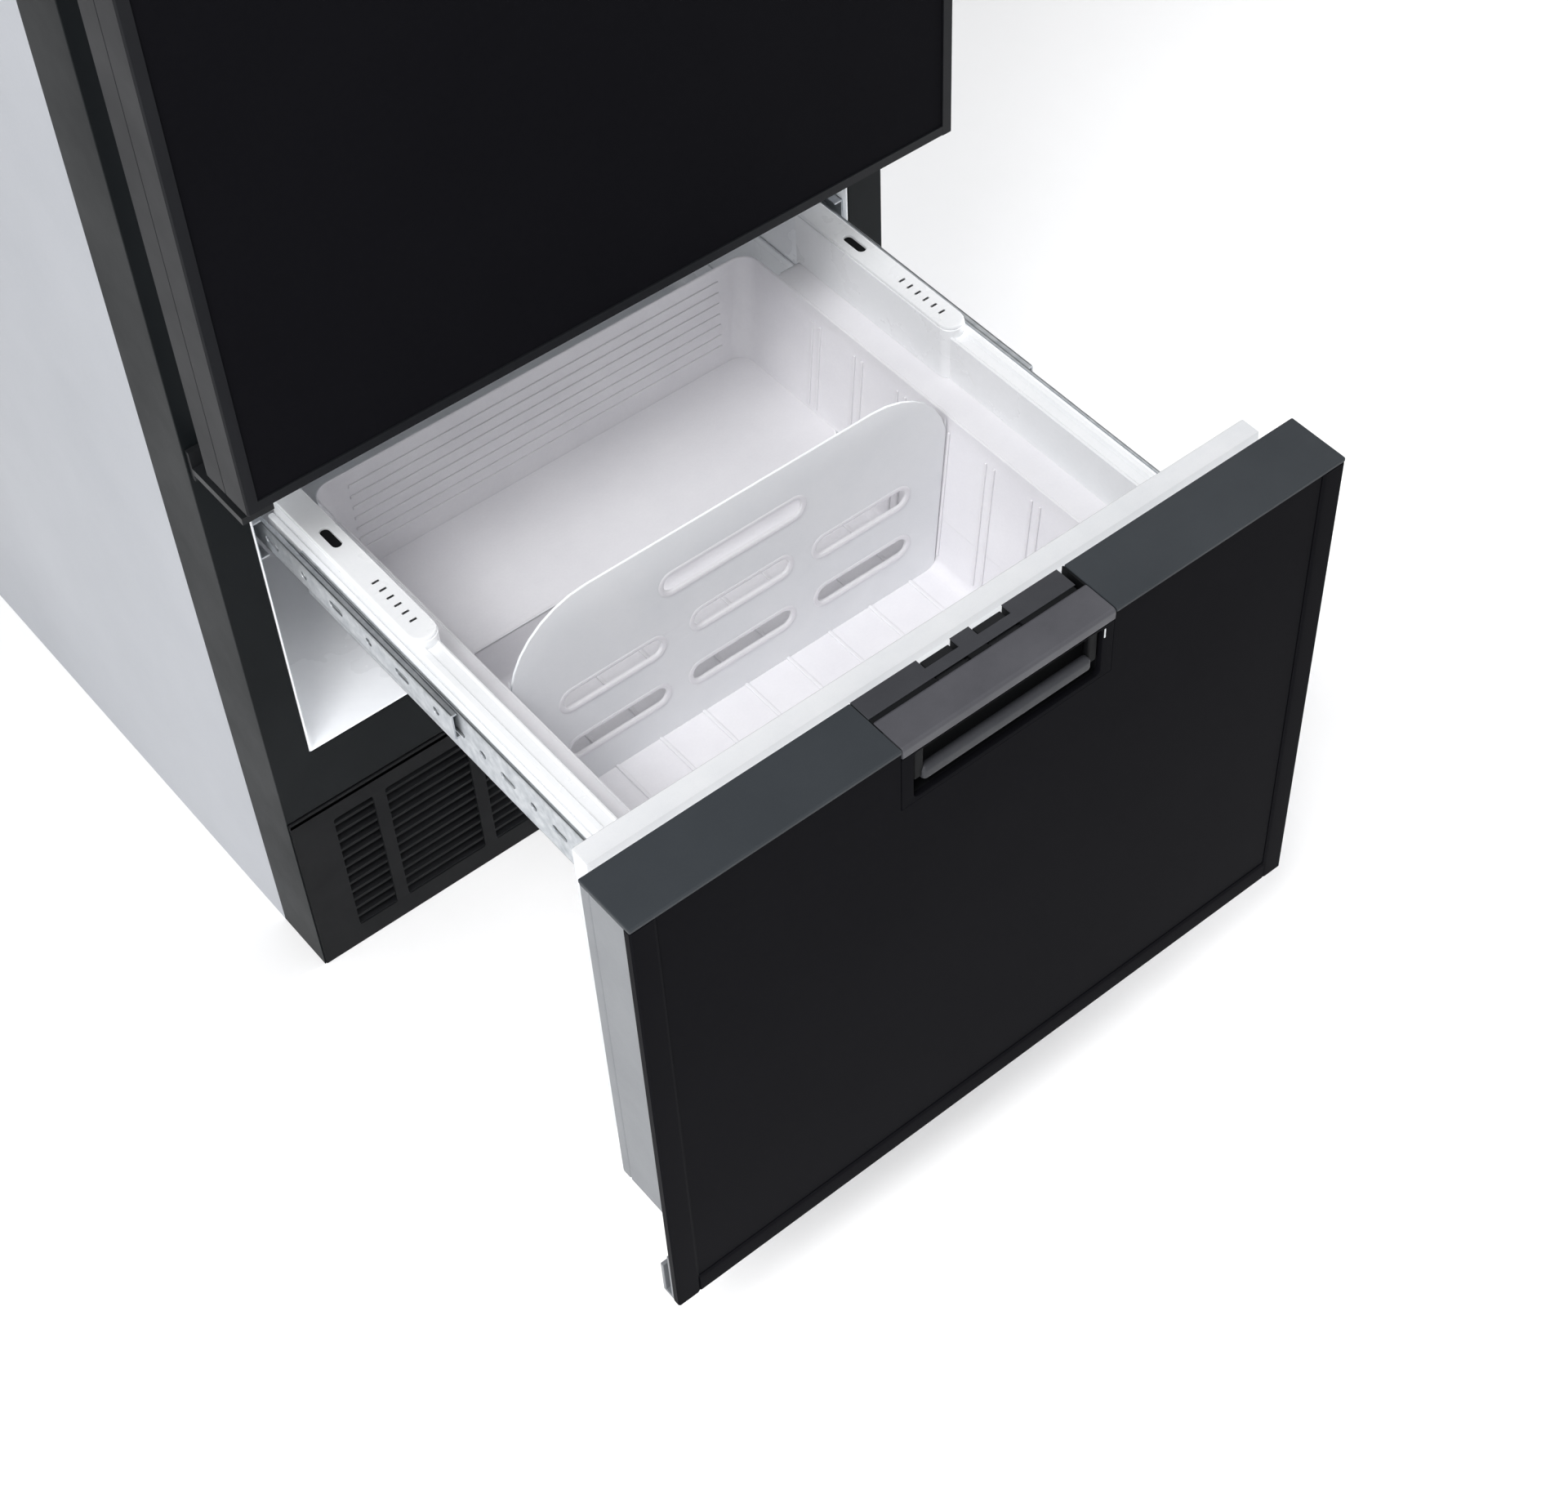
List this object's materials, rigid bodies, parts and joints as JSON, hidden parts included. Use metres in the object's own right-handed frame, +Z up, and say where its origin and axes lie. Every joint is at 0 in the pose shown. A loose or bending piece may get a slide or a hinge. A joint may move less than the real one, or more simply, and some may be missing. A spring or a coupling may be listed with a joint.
{
  "type": "ice maker",
  "caption": "Narrow bottom-freezer refrigerator with an automatic ice maker, shown with its freezer drawer pulled out and its louvred base grille below.",
  "frame": {"origin": "middle of the cabinet footprint on the floor", "axes": "+Z up, the doors face -Y, +X is to the right of someone facing the doors"},
  "size_m": [0.6, 1.085, 1.52],
  "materials": {
    "cabinet_paint": "satin",
    "frame_paint": "satin",
    "grille_plastic": "matte",
    "liner_plastic": "gloss",
    "insulation_foam": "matte",
    "zinc_steel": "satin",
    "door_black": "gloss",
    "edge_black": "satin",
    "cap_plastic": "satin",
    "body_plastic": "satin",
    "gasket_rubber": "matte",
    "white_plastic": "satin",
    "basket_plastic": "gloss",
    "divider_plastic": "satin",
    "latch_plastic": "matte",
    "lever_plastic": "satin",
    "bracket_plastic": "satin",
    "copper": "satin",
    "fin_aluminium": "satin",
    "compressor_paint": "gloss",
    "fan_plastic": "matte",
    "glass": "gloss",
    "valve_plastic": "satin",
    "ice_case_plastic": "satin",
    "wire_steel": "gloss",
    "clear_bin": "gloss"
  },
  "bodies": {
    "cabinet": {"back_panel": "cabinet_paint", "base_grille": "grille_plastic", "base_pan": "zinc_steel", "cabinet_foam": "insulation_foam", "compressor": "compressor_paint", "condenser": "fin_aluminium", "control_box": "fan_plastic", "evaporator": "fin_aluminium", "evaporator_cover": "liner_plastic", "fan_shroud": "fan_plastic", "freezer_liner": "liner_plastic", "fridge_liner": "liner_plastic", "front_frame": "frame_paint", "hinge_middle": "frame_paint", "hinge_screws": "zinc_steel", "hinge_top": "frame_paint", "ice_gearcase": "ice_case_plastic", "ice_mould": "fin_aluminium", "latch_keepers": "zinc_steel", "power_inlet": "fan_plastic", "refrigerant_lines": "copper", "shelf_lower": "glass", "shelf_upper": "glass", "side_panel_left": "cabinet_paint", "side_panel_right": "cabinet_paint", "slide_outer_left": "zinc_steel", "slide_outer_right": "zinc_steel", "top_panel": "cabinet_paint", "water_valve": "valve_plastic"},
    "drawer": {"drawer_panel": "door_black", "drawer_trim": "edge_black", "drawer_core": "body_plastic", "drawer_cap": "cap_plastic", "drawer_gasket": "gasket_rubber", "drawer_hooks": "bracket_plastic", "drawer_latch_housing": "latch_plastic", "drawer_arm_left": "white_plastic", "drawer_arm_right": "white_plastic", "rail_cover_left": "white_plastic", "rail_cover_right": "white_plastic", "slide_inner_left": "zinc_steel", "slide_inner_right": "zinc_steel", "basket": "basket_plastic", "divider": "divider_plastic"},
    "slide_middles": {"slide_middle_left": "zinc_steel", "slide_middle_right": "zinc_steel"},
    "refrigerator_door": {"door_panel": "door_black", "door_core": "edge_black", "door_gasket": "gasket_rubber", "door_bin_lower": "clear_bin", "door_bin_upper": "clear_bin", "door_latch_housing": "latch_plastic"},
    "drawer_lever": {"drawer_lever": "lever_plastic"},
    "drawer_hook": {"drawer_latch_hook": "zinc_steel"},
    "door_lever": {"door_lever": "lever_plastic"},
    "door_hook": {"door_latch_hook": "zinc_steel"},
    "condenser_fan": {"condenser_fan": "fan_plastic"},
    "evaporator_fan": {"evaporator_fan": "fan_plastic"},
    "ice_ejector": {"ice_ejector": "ice_case_plastic"},
    "ice_bail_arm": {"ice_bail_arm": "wire_steel"}
  },
  "joints": [
    {"name": "drawer_slide", "type": "slide", "parent": "cabinet", "child": "drawer", "axis": [0, -1, 0], "range_m": [-0.403, 0.04]},
    {"name": "middle_slide", "type": "slide", "parent": "cabinet", "child": "slide_middles", "axis": [0, -1, 0], "range_m": [-0.2015, 0.02]},
    {"name": "drawer_lever_pull", "type": "hinge", "parent": "drawer", "child": "drawer_lever", "pos_m": [0, -0.779, 0.545], "axis": [-1, 0, 0], "range_deg": [0, 25], "stiffness_Nm_per_rad": 0.3},
    {"name": "drawer_hook_lift", "type": "hinge", "parent": "drawer", "child": "drawer_hook", "pos_m": [0, -0.752, 0.556], "axis": [1, 0, 0], "range_deg": [0, 11.25]},
    {"name": "door_swing", "type": "hinge", "parent": "cabinet", "child": "refrigerator_door", "pos_m": [-0.286, -0.357, 1.05], "axis": [0, 0, -1], "range_deg": [0, 120]},
    {"name": "door_lever_pull", "type": "hinge", "parent": "refrigerator_door", "child": "door_lever", "pos_m": [0.284, -0.376, 1.085], "axis": [0, 0, 1], "range_deg": [0, 25], "stiffness_Nm_per_rad": 0.3},
    {"name": "door_hook_lift", "type": "hinge", "parent": "refrigerator_door", "child": "door_hook", "pos_m": [0.295, -0.349, 1.085], "axis": [0, 0, -1], "range_deg": [0, 11.25]},
    {"name": "condenser_fan_spin", "type": "hinge", "parent": "cabinet", "child": "condenser_fan", "pos_m": [-0.12, -0.048, 0.096], "axis": [0, 1, 0], "continuous": true},
    {"name": "evaporator_fan_spin", "type": "hinge", "parent": "cabinet", "child": "evaporator_fan", "pos_m": [-0.195, 0.177, 0.44], "axis": [0, 1, 0], "continuous": true},
    {"name": "ice_ejector_turn", "type": "hinge", "parent": "cabinet", "child": "ice_ejector", "pos_m": [0, 0.105, 0.508], "axis": [-1, 0, 0], "continuous": true},
    {"name": "ice_bail_lift", "type": "hinge", "parent": "cabinet", "child": "ice_bail_arm", "pos_m": [0.15, 0.072, 0.5], "axis": [-1, 0, 0], "range_deg": [0, 35]}
  ],
  "couplings": [
    {"joint": "middle_slide", "follows": "drawer_slide", "ratio": 0.5},
    {"joint": "drawer_hook_lift", "follows": "drawer_lever_pull", "ratio": 0.45},
    {"joint": "door_hook_lift", "follows": "door_lever_pull", "ratio": 0.45}
  ]
}
